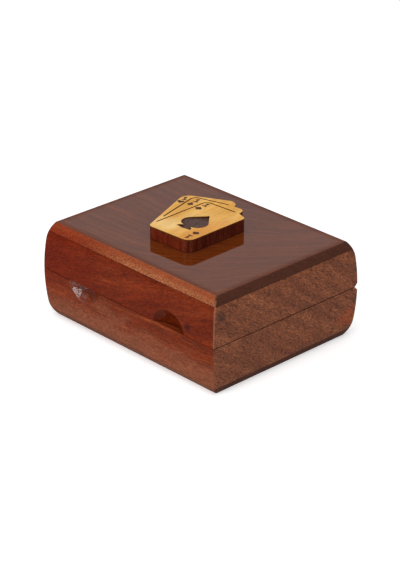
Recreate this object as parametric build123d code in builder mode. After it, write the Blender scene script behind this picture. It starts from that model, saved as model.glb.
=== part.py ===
"""A bowed hardwood box for two packs of playing cards, with a hinged lid and a carved fan of cards on top.

Millimetres and degrees. X runs along the front, the front faces -Y, Z is up, and the origin is the middle of
the footprint. The box is shaped as one block, then sawn into a base and a lid, as the real one is.
"""

from build123d import *
import os
from math import cos, radians, sin

# ---- The block: its size at the crisp top and bottom edges, and how far the sides bow out of them
length = 151.0
depth = 115.0
base_height = 34.7
lid_height = 32.0
seam_gap = 0.3
front_bulge = 7.2  # front and back
end_bulge = 4.9
edge_slope = 45.0  # of the bowed side, away from upright, where it meets the top and the bottom
shoulder_slope = 8.0  # where the tight curve at the edge runs into the flat curve of the middle
corner_ease = 0.6  # flats planed off the upright corners, and finer ones off the top and bottom edges
edge_ease = 0.3
seam_ease = 0.35

# ---- Boards and walls
bottom_thickness = 5.0
top_thickness = 5.6
end_wall_edge = 6.1  # the end walls' thickness where they meet the boards; they are thicker in the middle

# ---- Finger scoops: round dishes cut across the seam line
scoop_spacing = 80.0
scoop_radius = 14.2
scoop_depth = 4.8
scoop_sink = 2.5  # the dish's centre lies this far beyond the seam, in the other half of the box

# ---- The hollow
divider_thickness = 4.0
divider_drop = 3.0  # below the rim
housing_depth = 2.0
dip_width = 34.0
dip_depth = 11.0
felt_thickness = 1.0
felt_clearance = 0.3

# ---- Hinges
hinge_inset = 29.5  # from the crisp edge of the box's end to the middle of the hinge
hinge_length = 25.0
leaf_width = 9.0
leaf_thickness = 0.85
pin_radius = 0.75
knuckle_radius = 1.6
knuckle_count = 3
knuckle_gap = 0.12
pin_clearance = 0.05
wood_clearance = 0.25  # round the turning knuckles
groove_leg = 3.0  # the V groove along the back is two 45 degree chamfers, where the open lid comes to rest
axis_offset = 0.5  # the pin stands this far behind the bottom of the groove
screw_spacing = 14.0
screw_inset = 3.6
screw_length = 8.0
screw_radius = 1.0
screw_slot_width = 0.5
screw_slot_depth = 0.4
screw_slot_angle = 30.0

# ---- The fan of cards on the lid
fan_block_thickness = 8.2
fan_face_thickness = 0.8
engraving_width = 1.1
engraving_depth = 0.5
inlay_depth = 2.2
spade_centre = (2.2, -5.1)
spade_angle = 2.3
spade_width = 19.0
spade_height = 25.4
spade_widest_y = -1.2  # this and the next places are measured from the spade's centre
spade_shoulder = (7.4, 4.0)
spade_waist = (2.5, -8.2)  # where the lobes' undersides meet the stem
spade_foot = (5.9, -11.9)
spade_tip_slope = (0.7, -1)
foot_flare = 0.9
foot_bow = 0.2
spade_valley = 0.8  # how far its two facets slope down to its axis

# Each corner of the fan's outline, from the front left one anticlockwise, with the radius that rounds it.
fan_corners = [
    ((-14.6, -30.8), 4.0),
    ((20.8, -29.0), 6.0),
    ((19.9, 21.6), 3.0),
    ((11.8, 24.2), 0.0),
    ((10.3, 30.4), 4.0),
    ((1.7, 29.6), 0.0),
    ((-1.9, 36.9), 6.5),
    ((-35.3, 19.2), 7.0),
]
# The two cards that lie behind show as engraved lines: up the card's side, round its corner, along its top.
card_lines = [
    ((-15.6, -23.2), (-16.4, 22.1), (8.6, 23.9)),
    ((-18.6, -14.2), (-28.0, 21.4), (-2.8, 29.1)),
]
card_corner_radius = 4.0

# ---- Worked out from the above
height = base_height + seam_gap + lid_height
seam_middle = base_height + seam_gap / 2
lid_floor = base_height + seam_gap
half_length, half_depth = length / 2, depth / 2
face_y = half_depth + front_bulge
end_x = half_length + end_bulge
hinge_x = half_length - hinge_inset
front_wall_edge = end_wall_edge * front_bulge / end_bulge  # so that each mitre lies in one upright plane
inner_x, inner_y = half_length - end_wall_edge, half_depth - front_wall_edge
well_width = inner_x - divider_thickness / 2
divider_height = base_height - divider_drop - bottom_thickness
screw_head_radius = screw_radius + leaf_thickness  # a 45 degree countersink, as deep as the leaf is thick
axis_y = face_y - groove_leg + axis_offset
leaf_edge_y = axis_y - leaf_width
block_top = height + fan_block_thickness
face_top = block_top + fan_face_thickness
beyond = 10.0  # how far cutting shapes run past what they cut
in_base, in_lid = -1, 1  # which way a hinge's leaf and screws go from the seam: down or up

os.makedirs("parts", exist_ok=True)


def keep(piece, name):
    """Label a finished piece and write it out."""
    piece.part.label = name
    export_step(piece.part, f"parts/{name}.step")


# ---- The bowed side: a tight arc, a flat arc and a tight arc, tangent to each other
edge_sin, edge_cos = sin(radians(edge_slope)), cos(radians(edge_slope))
shoulder_sin, shoulder_cos = sin(radians(shoulder_slope)), cos(radians(shoulder_slope))
flat_rise, flat_reach = shoulder_sin, 1 - shoulder_cos  # of the flat arc's half, per unit of its radius
tight_rise, tight_reach = edge_sin - shoulder_sin, shoulder_cos - edge_cos
determinant = tight_rise * flat_reach - flat_rise * tight_reach
tight_radius = (height / 2 * flat_reach - flat_rise * front_bulge) / determinant
flat_radius = (tight_rise * front_bulge - tight_reach * height / 2) / determinant


def bowed_section(plane, half_width, bulge):
    """The block's upright section: on the ends, where it bows less, the arcs are squashed sideways."""
    squash = bulge / front_bulge
    tight_x = half_width - tight_radius * edge_cos * squash
    flat_x = half_width + bulge - flat_radius * squash
    with BuildSketch(plane) as section:
        with BuildLine():
            lower = EllipticalCenterArc(
                (tight_x, tight_radius * edge_sin),
                tight_radius * squash,
                tight_radius,
                start_angle=-edge_slope,
                arc_size=edge_slope - shoulder_slope,
            )
            EllipticalCenterArc(
                (flat_x, height / 2),
                flat_radius * squash,
                flat_radius,
                start_angle=-shoulder_slope,
                arc_size=2 * shoulder_slope,
            )
            upper = EllipticalCenterArc(
                (tight_x, height - tight_radius * edge_sin),
                tight_radius * squash,
                tight_radius,
                start_angle=shoulder_slope,
                arc_size=edge_slope - shoulder_slope,
            )
            Polyline(upper @ 1, (0, height), (0, 0), lower @ 0)
        make_face()
        mirror(about=Plane.YZ)
    return section.sketch


# ---- One block, shaped all round, then grooved along the seam: deep at the back, a fine V on the other sides
end_to_end = 2 * (end_x + beyond)
front_to_back = 2 * (face_y + beyond)
grooves = [
    (Plane.YZ, face_y - groove_leg, end_to_end),
    (Plane.YZ, seam_ease - face_y, end_to_end),
    (Plane.XZ, end_x - seam_ease, front_to_back),
    (Plane.XZ, seam_ease - end_x, front_to_back),
]

with BuildPart() as block:
    extrude(bowed_section(Plane.YZ.offset(-end_to_end / 2), half_depth, front_bulge), amount=end_to_end)
    extrude(
        bowed_section(Plane.XZ.offset(-front_to_back / 2), half_length, end_bulge),
        amount=front_to_back,
        mode=Mode.INTERSECT,
    )
    chamfer(block.edges().filter_by(lambda edge: edge.bounding_box().size.Z > edge_ease), corner_ease)
    flat_faces = block.faces().sort_by(Axis.Z)
    chamfer(flat_faces[0].edges() + flat_faces[-1].edges(), edge_ease)
    for plane, bottom, run in grooves:
        mouth = bottom + (beyond if bottom > 0 else -beyond)
        low, high = seam_middle - beyond, seam_middle + beyond
        with BuildSketch(plane.offset(-run / 2)):
            Polygon((bottom, seam_middle), (mouth, low), (mouth, high), align=None)
        extrude(amount=run, mode=Mode.SUBTRACT)


# ---- The plan of each piece: walls are mitred along the planes that hold the box's bowed corners
outer_x, outer_y = half_length + 2 * end_bulge, half_depth + 2 * front_bulge
whole_plan = [(-outer_x, -outer_y), (outer_x, -outer_y), (outer_x, outer_y), (-outer_x, outer_y)]
front_plan = [(-inner_x, -inner_y), (inner_x, -inner_y), (outer_x, -outer_y), (-outer_x, -outer_y)]
back_plan = [(x, -y) for x, y in front_plan]
right_plan = [(inner_x, -inner_y), (inner_x, inner_y), (outer_x, outer_y), (outer_x, -outer_y)]
left_plan = [(-x, y) for x, y in right_plan]


def sawn_piece(plan, low, high):
    """The part of the block that stands on a plan, between two heights."""
    with BuildPart() as piece:
        add(block.part)
        with BuildSketch(Plane.XY.offset(low)):
            Polygon(plan, align=None)
        extrude(amount=high - low, mode=Mode.INTERSECT)
    return piece.part


def sawn_face(way):
    """The height of the base's rim or of the lid's."""
    return seam_middle + way * seam_gap / 2


def scoop(x, z):
    """A round dish in the front face: the space that a ball leaves."""
    ball_radius = (scoop_radius**2 + scoop_depth**2) / (2 * scoop_depth)
    with Locations((x, -face_y + scoop_depth - ball_radius, z)):
        Sphere(ball_radius, mode=Mode.SUBTRACT)


def screw_places():
    """Where the screws stand, seen from above: two to a leaf."""
    screw_y = leaf_edge_y + screw_inset
    return [
        (middle + side * screw_spacing / 2, screw_y)
        for middle in (-hinge_x, hinge_x)
        for side in (-1, 1)
    ]


def screw(x, y, way):
    """A countersunk screw, its head flush with the leaf and its shank away from the seam."""
    head_z = sawn_face(way)
    neck_z, end_z = head_z + way * leaf_thickness, head_z + way * screw_length
    with BuildPart() as shape:
        with BuildSketch(Plane.XZ):
            Polygon(
                (0, head_z),
                (screw_head_radius, head_z),
                (screw_radius, neck_z),
                (screw_radius, end_z),
                (0, end_z),
                align=None,
            )
        revolve(axis=Axis.Z)
    return shape.part.moved(Location((x, y, 0)))


def hinge_recess(way):
    """What the wood gives up to the hinges: a seat for each leaf, room for the knuckles, and screw holes."""
    for middle_x in (-hinge_x, hinge_x):
        with BuildSketch(Plane.XY.offset(sawn_face(way))) as seat:
            with Locations((middle_x, leaf_edge_y)):
                Rectangle(hinge_length, leaf_width + beyond, align=(Align.CENTER, Align.MIN))
        extrude(seat.sketch, amount=way * leaf_thickness, mode=Mode.SUBTRACT)
        room_radius, room_length = knuckle_radius + wood_clearance, hinge_length + 2 * wood_clearance
        with Locations((middle_x, axis_y, seam_middle)):
            Cylinder(room_radius, room_length, rotation=(0, 90, 0), mode=Mode.SUBTRACT)
    for x, y in screw_places():
        add(screw(x, y, way), mode=Mode.SUBTRACT)


def divider_housing(side):
    """The upright groove that the divider's end sits in: side is -1 in the front wall, 1 in the back."""
    with BuildSketch(Plane.XY.offset(bottom_thickness)) as housing:
        with Locations((0, side * inner_y)):
            Rectangle(divider_thickness, 2 * housing_depth)
    extrude(housing.sketch, amount=divider_height, mode=Mode.SUBTRACT)


# ---- The base
with BuildPart() as bottom_board:
    add(sawn_piece(whole_plan, 0, bottom_thickness))
keep(bottom_board, "bottom_board")

with BuildPart() as base_front_wall:
    add(sawn_piece(front_plan, bottom_thickness, base_height))
    scoop(-scoop_spacing / 2, seam_middle + scoop_sink)
    divider_housing(-1)
keep(base_front_wall, "base_front_wall")

with BuildPart() as base_back_wall:
    add(sawn_piece(back_plan, bottom_thickness, base_height))
    hinge_recess(in_base)
    divider_housing(1)
keep(base_back_wall, "base_back_wall")

for side, plan in (("left", left_plan), ("right", right_plan)):
    with BuildPart() as base_end_wall:
        add(sawn_piece(plan, bottom_thickness, base_height))
    keep(base_end_wall, f"base_{side}_wall")

with BuildPart() as card_divider:
    with BuildSketch(Plane.YZ.offset(-divider_thickness / 2)):
        with Locations((0, bottom_thickness)):
            Rectangle(2 * (inner_y + housing_depth), divider_height, align=(Align.CENTER, Align.MIN))
        dip_radius = (dip_width**2 / 4 + dip_depth**2) / (2 * dip_depth)
        with Locations((0, bottom_thickness + divider_height - dip_depth + dip_radius)):
            Circle(dip_radius, mode=Mode.SUBTRACT)
    extrude(amount=divider_thickness)
keep(card_divider, "card_divider")

for side, middle_x in (("left", -inner_x + well_width / 2), ("right", inner_x - well_width / 2)):
    with BuildPart() as well_felt:
        with BuildSketch(Plane.XY.offset(bottom_thickness)):
            with Locations((middle_x, 0)):
                Rectangle(well_width - 2 * felt_clearance, 2 * (inner_y - felt_clearance))
        extrude(amount=felt_thickness)
    keep(well_felt, f"{side}_well_felt")

# ---- The lid
with BuildPart() as top_board:
    add(sawn_piece(whole_plan, height - top_thickness, height))
keep(top_board, "top_board")

with BuildPart() as lid_front_wall:
    add(sawn_piece(front_plan, lid_floor, height - top_thickness))
    scoop(scoop_spacing / 2, seam_middle - scoop_sink)
keep(lid_front_wall, "lid_front_wall")

with BuildPart() as lid_back_wall:
    add(sawn_piece(back_plan, lid_floor, height - top_thickness))
    hinge_recess(in_lid)
keep(lid_back_wall, "lid_back_wall")

for side, plan in (("left", left_plan), ("right", right_plan)):
    with BuildPart() as lid_end_wall:
        add(sawn_piece(plan, lid_floor, height - top_thickness))
    keep(lid_end_wall, f"lid_{side}_wall")


# ---- The hinges: the base leaf has the first knuckle and every other one after it, the lid leaf has the rest
def hinge_leaf(middle_x, way):
    """One leaf, let into the sawn face, with its knuckles round the pin and gaps for the other leaf's."""
    pitch = (hinge_length + knuckle_gap) / knuckle_count
    first_x = middle_x - (hinge_length + knuckle_gap) / 2 + pitch / 2
    places = [first_x + pitch * i for i in range(knuckle_count)]
    in_turn = (places[0::2], places[1::2])
    own, other = in_turn if way == in_base else reversed(in_turn)
    bore_radius = pin_radius if way == in_base else pin_radius + pin_clearance
    with BuildPart() as leaf:
        with BuildSketch(Plane.XY.offset(sawn_face(way))):
            with Locations((middle_x, leaf_edge_y)):
                Rectangle(hinge_length, leaf_width, align=(Align.CENTER, Align.MIN))
            with Locations(*[(x, axis_y - knuckle_radius - wood_clearance) for x in other]):
                Rectangle(pitch + knuckle_gap, beyond, align=(Align.CENTER, Align.MIN), mode=Mode.SUBTRACT)
        extrude(amount=way * leaf_thickness)
        with Locations(*[(x, axis_y, seam_middle) for x in own]):
            Cylinder(knuckle_radius, pitch - knuckle_gap, rotation=(0, 90, 0))
        with Locations((middle_x, axis_y, seam_middle)):
            Cylinder(bore_radius, hinge_length + beyond, rotation=(0, 90, 0), mode=Mode.SUBTRACT)
        for x, y in screw_places():
            if abs(x - middle_x) < hinge_length / 2:
                add(screw(x, y, way), mode=Mode.SUBTRACT)
    return leaf


for side, middle_x in (("left", -hinge_x), ("right", hinge_x)):
    keep(hinge_leaf(middle_x, in_base), f"{side}_hinge_base_leaf")
    keep(hinge_leaf(middle_x, in_lid), f"{side}_hinge_lid_leaf")
    with BuildPart() as hinge_pin:
        with Locations((middle_x, axis_y, seam_middle)):
            Cylinder(pin_radius, hinge_length, rotation=(0, 90, 0))
    keep(hinge_pin, f"{side}_hinge_pin")

for name, way in (("base_hinge_screws", in_base), ("lid_hinge_screws", in_lid)):
    with BuildPart() as hinge_screws:
        for x, y in screw_places():
            add(screw(x, y, way))
        with BuildSketch(Plane.XY.offset(sawn_face(way))):
            with Locations(*screw_places()):
                Rectangle(screw_slot_width, 2 * screw_head_radius, rotation=screw_slot_angle)
        extrude(amount=way * screw_slot_depth, mode=Mode.SUBTRACT)
    keep(hinge_screws, name)


# ---- The fan of cards
def fan_outline(z):
    """The three cards' common outline."""
    corners, radii = zip(*fan_corners)
    with BuildSketch(Plane.XY.offset(z)) as outline:
        with BuildLine():
            FilletPolyline(*corners, radius=radii, close=True)
        make_face()
    return outline.sketch


def spade_outline(z):
    """A spade on a flared foot, at its own centre: two lobes that rise to a point."""
    tip, foot_middle = (0, spade_height / 2), (0, -spade_height / 2)
    widest = (spade_width / 2, spade_widest_y)
    with BuildSketch(Plane.XY.offset(z)) as outline:
        with BuildLine():
            Spline(tip, spade_shoulder, widest, tangents=[spade_tip_slope, (0, -1)])
            TangentArc(widest, spade_waist, tangent=(0, -1))
            SagittaArc(spade_waist, spade_foot, foot_flare)
            SagittaArc(spade_foot, foot_middle, -foot_bow)
            Line(foot_middle, tip)
        make_face()
        mirror(about=Plane.YZ)
    return outline.sketch


spade_place = Location((*spade_centre, 0), spade_angle)

with BuildPart() as card_fan_block:
    extrude(fan_outline(height), amount=fan_block_thickness)
    extrude(spade_place * spade_outline(block_top), amount=-inlay_depth, mode=Mode.SUBTRACT)
keep(card_fan_block, "card_fan_block")

with BuildPart() as card_fan_face:
    extrude(fan_outline(block_top), amount=fan_face_thickness)
    extrude(spade_place * spade_outline(block_top), amount=fan_face_thickness, mode=Mode.SUBTRACT)
    for card_side in card_lines:
        with BuildSketch(Plane.XY.offset(face_top)):
            with BuildLine():
                FilletPolyline(*card_side, radius=card_corner_radius)
            trace(line_width=engraving_width)
        extrude(amount=-engraving_depth, mode=Mode.SUBTRACT)
keep(card_fan_face, "card_fan_face")

with BuildPart() as spade_at_centre:
    extrude(spade_outline(block_top), amount=-inlay_depth)
    with BuildSketch(Plane.XZ.offset(-spade_height)):
        facet = spade_width / 2
        Polygon((0, block_top - spade_valley), (facet, block_top), (-facet, block_top), align=None)
    extrude(amount=2 * spade_height, mode=Mode.SUBTRACT)

with BuildPart() as spade_inlay:
    with Locations(spade_place):
        add(spade_at_centre.part)
keep(spade_inlay, "spade_inlay")
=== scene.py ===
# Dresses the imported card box: lacquered rosewood, a golden card fan, brass hinges and baize in the wells.
from math import cos, pi, radians, sin

import bmesh
import bpy
from mathutils import Euler, Matrix, Vector


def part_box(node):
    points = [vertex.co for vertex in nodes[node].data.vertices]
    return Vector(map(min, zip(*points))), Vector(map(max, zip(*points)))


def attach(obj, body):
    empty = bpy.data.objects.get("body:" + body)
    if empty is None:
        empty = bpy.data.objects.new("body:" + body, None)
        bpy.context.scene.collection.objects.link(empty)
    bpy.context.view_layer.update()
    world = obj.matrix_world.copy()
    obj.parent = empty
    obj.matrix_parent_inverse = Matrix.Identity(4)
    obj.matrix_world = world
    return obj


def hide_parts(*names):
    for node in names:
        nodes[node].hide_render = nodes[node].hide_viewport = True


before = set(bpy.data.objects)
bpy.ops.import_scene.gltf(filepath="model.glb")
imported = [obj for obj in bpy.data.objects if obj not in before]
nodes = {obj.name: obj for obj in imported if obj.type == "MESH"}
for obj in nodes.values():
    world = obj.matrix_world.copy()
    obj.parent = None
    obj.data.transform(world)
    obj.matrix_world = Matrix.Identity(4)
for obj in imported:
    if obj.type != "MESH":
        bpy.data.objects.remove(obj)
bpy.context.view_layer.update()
mm = 0.001

# Places in millimetres that the materials and the new pieces share, all read from the frame
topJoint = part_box("top_board")[0].z / mm
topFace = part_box("top_board")[1].z / mm
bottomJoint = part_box("bottom_board")[1].z / mm
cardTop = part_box("card_fan_face")[1].z / mm
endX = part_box("base_right_wall")[1].x / mm
seam = (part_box("base_front_wall")[1].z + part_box("lid_front_wall")[0].z) / mm / 2


def colour(text):  # sRGB hex to linear
    parts = [int(text[i : i + 2], 16) / 255 for i in (1, 3, 5)]
    return [p / 12.92 if p <= 0.04045 else ((p + 0.055) / 1.055) ** 2.4 for p in parts] + [1.0]


def feed(tree, socket, value):  # a link from another node, or a plain value
    if isinstance(value, bpy.types.NodeSocket):
        tree.links.new(value, socket)
    else:
        socket.default_value = value


def addNode(tree, kind, sockets=None, stops=None, **settings):
    made = tree.nodes.new(kind)
    for key, value in settings.items():
        setattr(made, key, value)
    for key, value in (sockets or {}).items():
        feed(tree, made.inputs[key], value)
    for i, (place, tone) in enumerate(stops or []):
        element = made.color_ramp.elements[i] if i < 2 else made.color_ramp.elements.new(place)
        element.position, element.color = place, tone
    return made


def sums(tree, operation, *values):  # one step of arithmetic
    return addNode(tree, "ShaderNodeMath", dict(enumerate(values)), operation=operation).outputs[0]


def vectors(tree, operation, *values):  # one step of arithmetic with vectors
    return addNode(tree, "ShaderNodeVectorMath", dict(enumerate(values)), operation=operation).outputs[0]


def measured(tree, operation, *values):  # the length of a vector, or the distance between two
    made = addNode(tree, "ShaderNodeVectorMath", dict(enumerate(values)), operation=operation)
    return made.outputs["Value"]


def remap(tree, value, low, high, start=0.0, end=1.0):  # value low becomes start, value high becomes end
    sockets = {"Value": value, "From Min": low, "From Max": high, "To Min": start, "To Max": end}
    return addNode(tree, "ShaderNodeMapRange", sockets, interpolation_type="SMOOTHSTEP").outputs[0]


def noise(tree, vector, scale, detail=2.0, distortion=0.0):
    sockets = {"Vector": vector, "Scale": scale, "Detail": detail, "Distortion": distortion}
    return addNode(tree, "ShaderNodeTexNoise", sockets).outputs


def stretched(tree, vector, size, **sockets):  # one unit of a pattern gets a length and a width in mm
    length, width = size
    sockets = {"Vector": vector, "Scale": (1 / length, 1 / width, 1 / width), **sockets}
    return addNode(tree, "ShaderNodeMapping", sockets).outputs[0]


def scaled(tree, vector, amount):
    return addNode(tree, "ShaderNodeVectorMath", {0: vector, "Scale": amount}, operation="SCALE").outputs[0]


def blended(tree, amount, base, tone):
    sockets = {"Factor": amount, 6: base, 7: tone}
    return addNode(tree, "ShaderNodeMix", sockets, data_type="RGBA").outputs[2]


def separated(tree, vector):
    return addNode(tree, "ShaderNodeSeparateXYZ", {0: vector}).outputs


def placeOnBox(tree):  # where a point lies on the box, in mm
    return scaled(tree, addNode(tree, "ShaderNodeTexCoord").outputs["Object"], 1 / mm)


def newMaterial(name, **sockets):  # returns the material, its node tree and its surface shader
    material = bpy.data.materials.new(name)
    material.use_nodes = True
    tree = material.node_tree
    surface = tree.nodes["Principled BSDF"]
    for key, value in sockets.items():
        surface.inputs[key.replace("_", " ")].default_value = value
    return material, tree, surface


def dress(node, material):  # a piece of the frame gets this material alone
    node.data.materials.clear()
    node.data.materials.append(material)


def linked(name, data):
    made = bpy.data.objects.new(name, data)
    bpy.context.scene.collection.objects.link(made)
    return made


def pushed(shape, faces):  # extrudes faces, and returns the points of the new side
    made = bmesh.ops.extrude_face_region(shape, geom=faces)["geom"]
    return [point for point in made if isinstance(point, bmesh.types.BMVert)]


def addPiece(name, shape, material, body):
    mesh = bpy.data.meshes.new(name)
    bmesh.ops.recalc_face_normals(shape, faces=shape.faces)
    shape.to_mesh(mesh)
    shape.free()
    mesh.materials.append(material)
    piece = linked(name, mesh)
    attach(piece, body)
    return piece


# Camera: where the photograph was taken from
cameraSettings = {
    "azimuth": 46.394,
    "elevation": 25.948,
    "roll": 0.09,
    "distance": 1.3185,
    "target": (0.00058, 0, 0.02879),
    "lens": 127.69,
    "clip": (0.05, 20),
}


def addCamera(settings):
    turn = Euler((radians(90 - settings["elevation"]), 0, radians(settings["azimuth"]))).to_matrix()
    turn = turn @ Matrix.Rotation(radians(settings["roll"]), 3, "Z")
    data = bpy.data.cameras.new("camera")
    data.lens = settings["lens"]
    data.clip_start, data.clip_end = settings["clip"]
    camera = linked("camera", data)
    camera.matrix_world = turn.to_4x4()
    camera.location = Vector(settings["target"]) + turn @ Vector((0, 0, settings["distance"]))
    bpy.context.scene.camera = camera


addCamera(cameraSettings)
print("camera in place")

# Studio: a white sweep, a soft lamp in front, a big one overhead and a weak one on the right
studio = {
    "worldFill": 0.45,
    "floorSize": 6,
    "floorColour": "#ececec",
    "floorGlow": 0.4,
    "lamps": {
        "frontLamp": {"place": (-0.10, -1.05, 0.40), "size": 0.56, "power": 5.8},
        "topLamp": {"place": (0.10, -0.15, 1.30), "size": 0.90, "power": 7.0},
        "endLamp": {"place": (1.10, -0.35, 0.45), "size": 0.70, "power": 4.5},
    },
}


def seenDirectly(tree):  # 1 for rays from the camera, from gloss and through glass
    path = addNode(tree, "ShaderNodeLightPath").outputs
    some = sums(tree, "MAXIMUM", path["Is Camera Ray"], path["Is Glossy Ray"])
    return sums(tree, "MAXIMUM", some, path["Is Transmission Ray"])


def addWorld(settings):  # white where it is seen, and a weaker fill where it only lights
    world = bpy.context.scene.world or bpy.data.worlds.new("world")
    bpy.context.scene.world = world
    world.use_nodes = True
    tree = world.node_tree
    background = tree.nodes["Background"]
    background.inputs["Color"].default_value = (1, 1, 1, 1)
    sockets = {"Value": seenDirectly(tree), "To Min": settings["worldFill"], "To Max": 1.0}
    strength = addNode(tree, "ShaderNodeMapRange", sockets).outputs[0]
    feed(tree, background.inputs["Strength"], strength)


def floorMaterial(settings):  # matt paper that takes a soft shadow and glows to a white like the backdrop's
    material, tree, surface = newMaterial("matt white paper", Roughness=0.9, Specular_IOR_Level=0.0)
    glow = sums(tree, "MULTIPLY", seenDirectly(tree), settings["floorGlow"])
    feed(tree, surface.inputs["Base Color"], colour(settings["floorColour"]))
    feed(tree, surface.inputs["Emission Color"], (1, 1, 1, 1))
    feed(tree, surface.inputs["Emission Strength"], glow)
    return material


def addFloor(settings):
    shape = bmesh.new()
    bmesh.ops.create_grid(shape, x_segments=1, y_segments=1, size=settings["floorSize"])
    mesh = bpy.data.meshes.new("floor")
    shape.to_mesh(mesh)
    shape.free()
    mesh.materials.append(floorMaterial(settings))
    floor = linked("floor", mesh)


def addLamps(settings):
    for name, lamp in settings["lamps"].items():
        data = bpy.data.lights.new(name, "AREA")
        data.shape, data.size, data.energy = "SQUARE", lamp["size"], lamp["power"]
        made = linked(name, data)
        made.location = lamp["place"]
        made.rotation_euler = (-Vector(lamp["place"])).to_track_quat("-Z", "Y").to_euler()


addWorld(studio)
addFloor(studio)
addLamps(studio)
bpy.context.scene.view_settings.view_transform = "Standard"
print("studio lit")

# Lacquered wood. Every length in a recipe is in millimetres: how long and how wide a layer's marks are.
# A range says between which values of its noise a layer changes the tone.
plainWood = {
    "roughness": 0.45,
    "sheen": 0.0,
    "lacquer": 0.1,
    "haze": 0.04,
    "bend": 7,
    "bendSize": 40,
    "figure": (60, 4.5),
    "figureRange": (0.30, 0.72),
    "fibre": (15, 0.55),
    "fibreRange": (0.3, 0.7),
    "fibreDepth": 0.15,
    "fleck": (2.4, 0.9),
    "fleckRange": (0.32, 0.68),
    "fleckDepth": 0.20,
    "mottle": (22, 11),
    "mottleRange": (0.3, 0.7),
    "mottleDepth": 0.10,
    "pores": (3.2, 0.4),
    "poreRange": (0.56, 0.68),
    "poreDepth": 0.35,
    "edgeRange": (0.34, 0.68),
    "jointWidth": 0.16,
    "seamWidth": 0.4,
    "lineShade": 0.3,
    # a painted highlight along the lid's upright corners
    "highlightReach": 8,
    "highlightTone": "#c89880",
    "highlightAmount": 0.15,
    "bumpStrength": 0.12,
    "bumpDistance": -0.00015,  # in metres, and downwards, so that pores are pits
    "patches": [],
    "edges": {},
}
# Limits on how far a face leans towards an axis, from 0 to 1
facing = {"edge": 0.33, "corner": 0.5, "cut": 0.5, "end": 0.6, "side": 0.8, "top": (0.75, 0.95)}


def grainPlace(tree, recipe, place, where):  # the grain bends a little, and in the top board it also fans out
    bend = noise(tree, place, 1 / recipe["bendSize"], 1.0)["Color"]
    offset = vectors(tree, "SUBTRACT", bend, (0.5, 0.5, 0.5))
    bent = vectors(tree, "ADD", place, scaled(tree, offset, recipe["bend"]))
    if "fanFrom" in recipe:
        beyond = sums(tree, "MAXIMUM", sums(tree, "SUBTRACT", where["X"], recipe["fanFrom"]), 0.0)
        lift = sums(tree, "MULTIPLY", sums(tree, "MULTIPLY", beyond, beyond), recipe["fanRate"])
        lifted = addNode(tree, "ShaderNodeCombineXYZ", {"Y": lift}).outputs[0]
        bent = vectors(tree, "SUBTRACT", bent, lifted)
    turn = [radians(a) for a in recipe["grainTurn"]]
    return addNode(tree, "ShaderNodeMapping", {"Vector": bent, "Rotation": turn}).outputs[0]


def ramped(tree, factor, tones, span):
    low, high = span
    stops = [(low, colour(tones["dark"])), (high, colour(tones["light"])), (0.5, colour(tones["mid"]))]
    return addNode(tree, "ShaderNodeValToRGB", {"Fac": factor}, stops=stops).outputs["Color"]


def shaded(tree, tone, mask, span, depth):
    return scaled(tree, tone, remap(tree, mask, *span, 1 - depth, 1 + depth))


def patched(tree, tone, recipe, mottle, place):  # another tone, such as a knot's, with soft uneven edges
    ragged, core = 0.2, 0.25
    for patch in recipe["patches"]:
        away = vectors(tree, "DIVIDE", vectors(tree, "SUBTRACT", place, patch["centre"]), patch["reach"])
        shift = remap(tree, mottle, *recipe["mottleRange"], -ragged, ragged)
        uneven = sums(tree, "ADD", measured(tree, "LENGTH", away), shift)
        amount = remap(tree, uneven, core, 1.0, patch["amount"], 0.0)
        tone = blended(tree, amount, tone, colour(patch["tone"]))
    return tone


def edged(tree, tone, recipe, layer, where, upright):  # a board's edges show other grain than its faces
    for axis, edge in recipe["edges"].items():
        grit = layer(edge["fleck"], detail=2.0, seed=11)
        edgeTone = ramped(tree, grit, edge, recipe["edgeRange"])
        if "farTone" in edge:
            far = remap(tree, where["X"], edge["farFrom"], edge["farTo"], edge["farAmount"], 0.0)
            edgeTone = blended(tree, far, edgeTone, colour(edge["farTone"]))
            low, high = [topJoint + rise for rise in edge["upperFade"]]
            upper = remap(tree, where["Z"], low, high, 0.0, edge["upperAmount"])
            edgeTone = blended(tree, upper, edgeTone, colour(edge["upperTone"]))
        tone = blended(tree, sums(tree, "GREATER_THAN", upright[axis], facing["edge"]), tone, edgeTone)
    return tone


def lined(tree, tone, recipe, where, upright):  # hairlines at the glued joints, and shade in the ends' seam
    onSides = sums(tree, "LESS_THAN", upright["Z"], facing["side"])
    onEnds = sums(tree, "GREATER_THAN", upright["X"], facing["end"])
    joint, core, fade = recipe["jointWidth"], 0.6, 1.2
    lines = [(topJoint, joint, onSides), (bottomJoint, joint, onSides), (seam, recipe["seamWidth"], onEnds)]
    for height, width, faces in lines:
        near = sums(tree, "ABSOLUTE", sums(tree, "SUBTRACT", where["Z"], height))
        line = sums(tree, "MULTIPLY", remap(tree, near, width * core, width * fade, 1.0, 0.0), faces)
        tone = scaled(tree, tone, remap(tree, line, 0.0, 1.0, 1.0, recipe["lineShade"]))
    return tone


def cornerHighlight(tree, tone, recipe, where, upright):  # painted highlight along the lid's upright corners
    lesser = sums(tree, "MINIMUM", upright["X"], upright["Y"])
    slanting = sums(tree, "GREATER_THAN", lesser, facing["corner"])
    outer = sums(tree, "GREATER_THAN", sums(tree, "ABSOLUTE", where["X"]), endX - recipe["highlightReach"])
    corner = sums(tree, "MULTIPLY", slanting, outer)
    onLid = sums(tree, "MULTIPLY", corner, sums(tree, "GREATER_THAN", where["Z"], seam))
    amount = sums(tree, "MULTIPLY", onLid, recipe["highlightAmount"])
    return blended(tree, amount, tone, colour(recipe["highlightTone"]))


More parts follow.
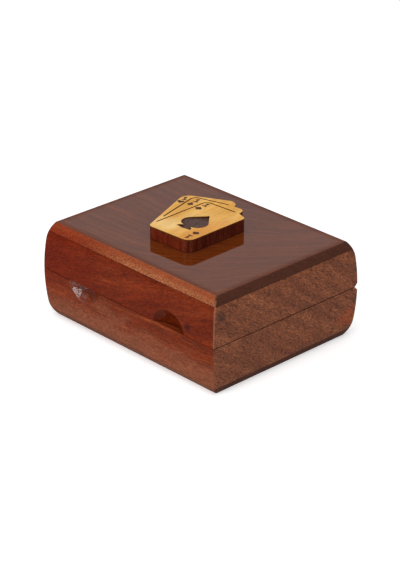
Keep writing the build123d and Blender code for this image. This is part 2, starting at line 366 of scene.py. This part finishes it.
def rubbedLacquer(tree, recipe, where, upright):  # thinner on the side faces, and rubbed thin along the rim
    rim = recipe["rim"]
    fromEnd = sums(tree, "SUBTRACT", rim["halfLength"], sums(tree, "ABSOLUTE", where["X"]))
    fromFront = sums(tree, "SUBTRACT", rim["halfDepth"], sums(tree, "ABSOLUTE", where["Y"]))
    inward = remap(tree, sums(tree, "MINIMUM", fromEnd, fromFront), 0.0, rim["width"], rim["left"], 1.0)
    rubbed = sums(tree, "MULTIPLY", inward, recipe["lacquer"])
    return remap(tree, upright["Z"], *facing["top"], rim["sideLacquer"], rubbed)


def scooped(tree, tone, recipe, layer, place, where):  # painted shade in the dish; its lacquer in streaks
    dish = recipe["dish"]
    reach = measured(tree, "DISTANCE", place, dish["centre"])
    inside = sums(tree, "COMPARE", reach, dish["radius"], dish["skin"])
    tone = scaled(tree, tone, remap(tree, inside, 0.0, 1.0, 1.0, dish["shade"]))
    low, high = [dish["glossTo"] + shift for shift in dish["glossFade"]]
    glossy = sums(tree, "MULTIPLY", inside, remap(tree, where["X"], low, high, 1.0, 0.0))
    streaks = layer(dish["streaks"], detail=2.0, seed=21)
    streaky = remap(tree, streaks, *dish["streakRange"], dish["betweenStreaks"], 1.0)
    glossy = sums(tree, "MULTIPLY", glossy, streaky)
    lacquer = remap(tree, glossy, 0.0, 1.0, recipe["lacquer"], dish["lacquer"])
    cuts = sums(tree, "MULTIPLY", streaks, remap(tree, inside, 0.0, 1.0, 0.0, dish["cutDepth"]))
    return tone, lacquer, cuts


def scorchedAndShaded(tree, tone, settings, where, upright):  # engraved lines scorched brown; cut edges darker, partly painted shade
    low = sums(tree, "LESS_THAN", where["Z"], settings["below"])
    cut = sums(tree, "MAXIMUM", low, sums(tree, "LESS_THAN", upright["Z"], facing["cut"]))
    return blended(tree, sums(tree, "MULTIPLY", cut, settings["amount"]), tone, colour(settings["tone"]))


def woodMaterial(name, changes):  # ribbons and fibres along the grain, dark pores and a coat of lacquer
    recipe = {**plainWood, **changes}
    material, tree, surface = newMaterial(
        name, Roughness=recipe["roughness"], Specular_IOR_Level=recipe["sheen"], Coat_Roughness=recipe["haze"]
    )
    coordinates = addNode(tree, "ShaderNodeTexCoord").outputs
    place = scaled(tree, coordinates["Object"], 1 / mm)
    where = separated(tree, place)
    upright = separated(tree, vectors(tree, "ABSOLUTE", coordinates["Normal"]))
    along = grainPlace(tree, recipe, place, where)

    def layer(size, detail, seed, distortion=0.0):
        shift = (recipe["seed"] + seed, recipe["seed"] * 1.7 + seed, seed * 0.6)
        drawn = stretched(tree, along, size, Location=shift)
        return noise(tree, drawn, 1.0, detail, distortion)["Fac"]

    figure = layer(recipe["figure"], detail=4.0, seed=0, distortion=0.3)
    fibres = layer(recipe["fibre"], detail=3.0, seed=3)
    mottle = layer(recipe["mottle"], detail=2.0, seed=5)
    flecks = layer(recipe["fleck"], detail=2.0, seed=7)
    pores = layer(recipe["pores"], detail=1.0, seed=9)

    tone = ramped(tree, figure, recipe, recipe["figureRange"])
    tone = patched(tree, tone, recipe, mottle, place)
    tone = edged(tree, tone, recipe, layer, where, upright)
    tone = shaded(tree, tone, fibres, recipe["fibreRange"], recipe["fibreDepth"])
    tone = shaded(tree, tone, flecks, recipe["fleckRange"], recipe["fleckDepth"])
    tone = shaded(tree, tone, mottle, recipe["mottleRange"], recipe["mottleDepth"])
    tone = scaled(tree, tone, remap(tree, pores, *recipe["poreRange"], 1.0, 1 - recipe["poreDepth"]))
    tone = lined(tree, tone, recipe, where, upright)
    tone = cornerHighlight(tree, tone, recipe, where, upright)

    height, lacquer = pores, recipe["lacquer"]
    if "rim" in recipe:
        lacquer = rubbedLacquer(tree, recipe, where, upright)
    if "foot" in recipe:  # shade where the block meets the board that it stands on
        foot = recipe["foot"]
        shade = remap(tree, where["Z"], foot["height"], foot["height"] + foot["reach"], foot["shade"], 1.0)
        tone = scaled(tree, tone, shade)
    if "dish" in recipe:
        tone, lacquer, cuts = scooped(tree, tone, recipe, layer, place, where)
        height = sums(tree, "ADD", pores, cuts)
    if "scorchedAndShaded" in recipe:
        tone = scorchedAndShaded(tree, tone, recipe["scorchedAndShaded"], where, upright)
    feed(tree, surface.inputs["Coat Weight"], lacquer)
    feed(tree, surface.inputs["Base Color"], tone)
    sockets = {"Height": height, "Strength": recipe["bumpStrength"], "Distance": recipe["bumpDistance"]}
    feed(tree, surface.inputs["Normal"], addNode(tree, "ShaderNodeBump", sockets).outputs[0])
    return material


# what the two finger scoops share: the skin of the ball that cuts them, and the marks of its cutter
scoop = {
    "radius": 23.4,
    "skin": 0.3,
    "streaks": (7, 0.7),
    "streakRange": (0.42, 0.56),
    "betweenStreaks": 0.15,
    "glossFade": (-5, 2),
    "cutDepth": 14.0,
}
# lid front: red-brown in broad slanting bands, deeper at the left
lidFrontWood = {
    "grainTurn": (0, 15, 0), "seed": 1.3, "dark": "#561a08", "mid": "#64210b", "light": "#762e12",
    "figure": (75, 7),
    "dish": {**scoop, "centre": (40, -83.3, 32.35), "shade": 0.6, "lacquer": 0.1, "glossTo": 0},
    "patches": [
        {"centre": (-72, -64, 50), "reach": (55, 30, 45), "tone": "#661a04", "amount": 0.7},
        {"centre": (57, -64, 41), "reach": (5, 9, 5), "tone": "#2c1210", "amount": 0.8},
    ],
}
# base front: finer level lines; paler and pinker towards the bottom, a painted reflection of the white floor
baseFrontWood = {
    "grainTurn": (0, 3, 0), "seed": 3.1, "dark": "#541e0e", "mid": "#69270f", "light": "#803a1d",
    "figure": (70, 3.5),
    "dish": {**scoop, "centre": (-40, -83.3, 37.35), "shade": 0.85, "lacquer": 1.0, "glossTo": -38},
    "patches": [
        # painted reflection of the white floor, paler along the bottom
        {"centre": (0, -60, 3), "reach": (260, 80, 30), "tone": "#804932", "amount": 0.9},
        {"centre": (-80, -64, 30), "reach": (40, 30, 22), "tone": "#661c08", "amount": 0.5},
    ],
}
# ends: duller brown, coarse pores in streaks that fall towards the back
endWood = {
    "grainTurn": (38, 0, -90), "seed": 4.1, "dark": "#653726", "mid": "#714029", "light": "#814b31",
    "figure": (50, 5), "fleck": (2.2, 0.6), "fleckDepth": 0.36, "mottleDepth": 0.05, "lacquer": 0.16,
    "pores": (3.6, 0.45), "poreDepth": 0.55,
    "patches": [
        {"centre": (80, 58, 15), "reach": (20, 20, 9), "tone": "#94431f", "amount": 0.55},
        {"centre": (80, -58, 54), "reach": (9, 5, 5), "tone": "#38221c", "amount": 0.7},
    ],
}
# top: fine ribbon figure that fans out to the right; its edges are paler along the front, dark at the ends
topWood = {
    "grainTurn": (0, 0, 0), "seed": 7.7, "dark": "#542109", "mid": "#5d2708", "light": "#6a3011",
    "figure": (80, 3.0), "fanFrom": -30, "fanRate": 0.007,
    "fleckDepth": 0.10, "fibreDepth": 0.12, "mottleDepth": 0.06, "lacquer": 0.56,
    "rim": {"halfLength": 75.5, "halfDepth": 57.5, "width": 6.0, "left": 0.5, "sideLacquer": 0.12},
    "edges": {
        "Y": {
            "dark": "#783a1f", "mid": "#884b2d", "light": "#a66c48", "fleck": (1.3, 0.8),
            "farTone": "#701f08", "farFrom": -55, "farTo": 10, "farAmount": 0.85,
            "upperTone": "#82381c", "upperFade": (2.2, 4.2), "upperAmount": 0.6,
        },
        "X": {"dark": "#422217", "mid": "#47261a", "light": "#4c291c", "fleck": (6.0, 1.2)},
    },
}
# bottom: plain level grain, dark at the ends
bottomWood = {
    "grainTurn": (0, 2, 0), "seed": 9.2, "dark": "#5e3020", "mid": "#734029", "light": "#8a5238",
    "edges": {"X": {"dark": "#3c2018", "mid": "#4a281c", "light": "#583224", "fleck": (6.0, 1.2)}},
}
# block under the cards: fine upright grain; the sides that face the box's ends are darker, a painted shade
blockWood = {
    "grainTurn": (0, 90, 0), "seed": 2.9, "dark": "#4a180b", "mid": "#60200e", "light": "#722b16",
    "figure": (40, 1.1), "lacquer": 0.3, "foot": {"height": topFace, "reach": 0.9, "shade": 0.35},
    # darker tones on the sides that face the box's ends: painted shade
    "edges": {"X": {"dark": "#3c130a", "mid": "#49180b", "light": "#5a2212", "fleck": (40, 1.1)}},
}
# cards: pale gold with little grain, a lighter patch that is partly a painted highlight, a browner one,
# scorched lines, and cut edges partly darkened as painted shade
cardWood = {
    "grainTurn": (0, 0, 80), "seed": 5.5, "dark": "#d09646", "mid": "#daa557", "light": "#e4b56c",
    "figure": (34, 7), "poreDepth": 0.05, "fibreDepth": 0.05, "mottleDepth": 0.05, "fleckDepth": 0.05,
    # scorched engraved lines, and cut edges darkened, partly as painted shade in the spade pocket
    "scorchedAndShaded": {"below": cardTop - 0.15, "tone": "#3a1a0a", "amount": 0.93},
    "patches": [
        # lighter patch near the near corner: paler wood, brightened as a painted highlight
        {"centre": (-8, -22, 76), "reach": (17, 14, 9), "tone": "#efd59a", "amount": 0.45},
        {"centre": (19, -14, 76), "reach": (16, 34, 9), "tone": "#cf8a40", "amount": 0.75},
    ],
}
spadeWood = {"grainTurn": (0, 0, 90), "seed": 6.2, "dark": "#4a3430", "mid": "#59423d", "light": "#69504b"}
dividerWood = {"grainTurn": (0, 0, -90), "seed": 8.4, "dark": "#5a2c14", "mid": "#6f3a1d", "light": "#874c2a"}

boards = {
    "rosewood lid front": (lidFrontWood, ["lid_front_wall", "lid_back_wall"]),
    "rosewood base front": (baseFrontWood, ["base_front_wall", "base_back_wall"]),
    "rosewood ends": (endWood, ["base_left_wall", "base_right_wall", "lid_left_wall", "lid_right_wall"]),
    "rosewood top": (topWood, ["top_board"]),
    "rosewood bottom": (bottomWood, ["bottom_board"]),
    "dark plaque wood": (blockWood, ["card_fan_block"]),
    "golden maple": (cardWood, ["card_fan_face"]),
    "stained spade wood": (spadeWood, ["spade_inlay"]),
    "divider wood": (dividerWood, ["card_divider"]),
}
for name, (recipe, used) in boards.items():
    made = woodMaterial(name, recipe)
    for node in used:
        dress(nodes[node], made)
print("wood finished")

# Brass: hinges, pins and screws
brass = {
    "bright": "#d0a557",
    "dull": "#a67a38",
    "cloudSize": 4.0,
    "cloudRange": (0.4, 0.65),
    "scratch": (6.0, 0.12),
    "scratchRange": (0.35, 0.65),
    "roughness": (0.22, 0.42),
}


def brassMaterial(settings):  # warm metal with dull clouds and fine lengthwise scratches
    material, tree, surface = newMaterial("satin brass", Metallic=1.0)
    place = placeOnBox(tree)
    clouds = noise(tree, place, 1 / settings["cloudSize"], 3.0)["Fac"]
    dulled = remap(tree, clouds, *settings["cloudRange"])
    tone = blended(tree, dulled, colour(settings["bright"]), colour(settings["dull"]))
    scratches = noise(tree, stretched(tree, place, settings["scratch"]), 1.0)["Fac"]
    rough = remap(tree, scratches, *settings["scratchRange"], *settings["roughness"])
    feed(tree, surface.inputs["Base Color"], tone)
    feed(tree, surface.inputs["Roughness"], rough)
    return material


brassMade = brassMaterial(brass)
for name, node in nodes.items():
    if "hinge" in name:
        dress(node, brassMade)
print("brass finished")

# Baize laid in the two wells: thin cloth with a faint swell and a turned-down edge
baize = {
    "wells": {"left": "left_well_felt", "right": "right_well_felt"},
    "steps": (34, 48),
    "swell": 0.10,
    "edgeDrop": 0.35,
    "tone": "#1c4a2e",
    "shadeTone": "#123521",
    "shadeRange": (0.38, 0.62),
    "napScale": 2.2,
    "cloudScale": 0.12,
    "napShare": 0.6,
    "bumpStrength": 0.5,
    "bumpDistance": 0.0003,
}


def baizeMaterial(settings):  # short wool nap: clouded green with a fine fibrous bump and a soft sheen
    material, tree, surface = newMaterial("green baize", Roughness=0.95, Sheen_Weight=0.35)
    place, share = placeOnBox(tree), settings["napShare"]
    nap = noise(tree, place, settings["napScale"], 4.0)["Fac"]
    clouds = noise(tree, place, settings["cloudScale"])["Fac"]
    mixed = sums(tree, "ADD", sums(tree, "MULTIPLY", nap, share), sums(tree, "MULTIPLY", clouds, 1 - share))
    lit = remap(tree, mixed, *settings["shadeRange"])
    tone = blended(tree, lit, colour(settings["shadeTone"]), colour(settings["tone"]))
    sockets = {"Height": nap, "Strength": settings["bumpStrength"], "Distance": settings["bumpDistance"]}
    feed(tree, surface.inputs["Base Color"], tone)
    feed(tree, surface.inputs["Normal"], addNode(tree, "ShaderNodeBump", sockets).outputs[0])
    return material


def addBaize(side, node, material, settings):
    low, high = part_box(node)
    width, length = high.x - low.x, high.y - low.y
    across, along = settings["steps"]
    shape = bmesh.new()
    bmesh.ops.create_grid(shape, x_segments=across, y_segments=along, size=0.5)
    for point in shape.verts:
        u, v = point.co.x, point.co.y
        atEdge = max(abs(u), abs(v)) > 0.499  # the grid runs from -0.5 to 0.5
        wave = settings["swell"] * mm * (sin(5 * u + 2 * v) * cos(4 * v) - 1)
        drop = settings["edgeDrop"] * mm if atEdge else 0
        point.co = (low.x + (u + 0.5) * width, low.y + (v + 0.5) * length, high.z + wave - drop)
    for point in pushed(shape, shape.faces[:]):
        point.co.z = low.z
    piece = addPiece(f"{side}_well_baize", shape, material, "base")
    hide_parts(node)


baizeMade = baizeMaterial(baize)
for side, node in baize["wells"].items():
    addBaize(side, node, baizeMade, baize)
print("baize laid")

# Marks in the corners of the cards: a plain numeral one over the card's suit, scorched into the wood
marks = {
    "height": 5.3,
    "pipSize": 5.0,
    "rise": 0.03,
    "depth": 0.15,
    "stemDrop": 0.01,
    "tone": "#34170b",
    "crumbTone": "#5d3318",
    "crumbScale": 1.6,
    "crumbRange": (0.45, 0.7),
    "places": [  # what, its middle, and how far the card is turned
        ("one", (-12.4, 18.2), 2),
        ("spade", (-12.4, 11.2), 2),
        ("one", (-21.8, 18.8), 15),
        ("club", (-21.2, 12.1), 15),
        ("one", (-30.2, 15.7), 24),
        ("heart", (-28.3, 9.7), 24),
        ("spade", (14.7, -17.4), 182),
        ("one", (15.0, -24.2), 182),
    ],
}


def turnsOf(steps):
    return [2 * pi * i / steps for i in range(steps)]


def heartOutline(steps=36):  # a heart one unit high, from its usual formula
    turns = turnsOf(steps)
    rise = [13 * cos(t) - 5 * cos(2 * t) - 2 * cos(3 * t) - cos(4 * t) for t in turns]
    return [(sin(t) ** 3 * 0.5, up / 32 + 0.05) for t, up in zip(turns, rise)]


def leavesOutline(steps=60):  # a club's three round leaves
    turns = turnsOf(steps)
    reaches = [0.36 + 0.13 * cos(3 * (t - pi / 2)) for t in turns]
    return [(reach * cos(t), reach * sin(t) + 0.04) for t, reach in zip(turns, reaches)]


oneOutline = [
    (-0.36, -0.5), (0.36, -0.5), (0.36, -0.32), (0.12, -0.32), (0.12, 0.5), (-0.06, 0.5),
    (-0.36, 0.24), (-0.28, 0.1), (-0.12, 0.2), (-0.12, -0.32), (-0.36, -0.32),
]
stemOutline = [(-0.05, -0.1), (-0.2, -0.5), (0.2, -0.5), (0.05, -0.1)]
markOutlines = {  # each one unit high, about its middle
    "one": [oneOutline],
    "heart": [heartOutline()],
    "spade": [[(x, 0.06 - y * 0.9) for x, y in reversed(heartOutline())], stemOutline],
    "club": [leavesOutline(), stemOutline],
}


def marksMaterial(settings):  # scorched wood: near black brown with paler crumbs of char
    material, tree, surface = newMaterial("scorched wood", Roughness=0.7, Specular_IOR_Level=0.2)
    crumbs = noise(tree, placeOnBox(tree), settings["crumbScale"], 3.0)["Fac"]
    paler = remap(tree, crumbs, *settings["crumbRange"])
    tone = blended(tree, paler, colour(settings["tone"]), colour(settings["crumbTone"]))
    feed(tree, surface.inputs["Base Color"], tone)
    return material


def addMarks(settings):
    shape = bmesh.new()
    for kind, middle, turn in settings["places"]:
        size = settings["height"] if kind == "one" else settings["pipSize"]
        spin = Matrix.Rotation(radians(turn), 2)
        for i, outline in enumerate(markOutlines[kind]):
            top = cardTop + settings["rise"] - settings["stemDrop"] * i
            corners = [Vector(middle) + spin @ (Vector(point) * size) for point in outline]
            face = shape.faces.new([shape.verts.new((c.x * mm, c.y * mm, top * mm)) for c in corners])
            for point in pushed(shape, [face]):
                point.co.z -= settings["depth"] * mm
    addPiece("card_marks", shape, marksMaterial(settings), "lid")


addMarks(marks)
print("marks made")
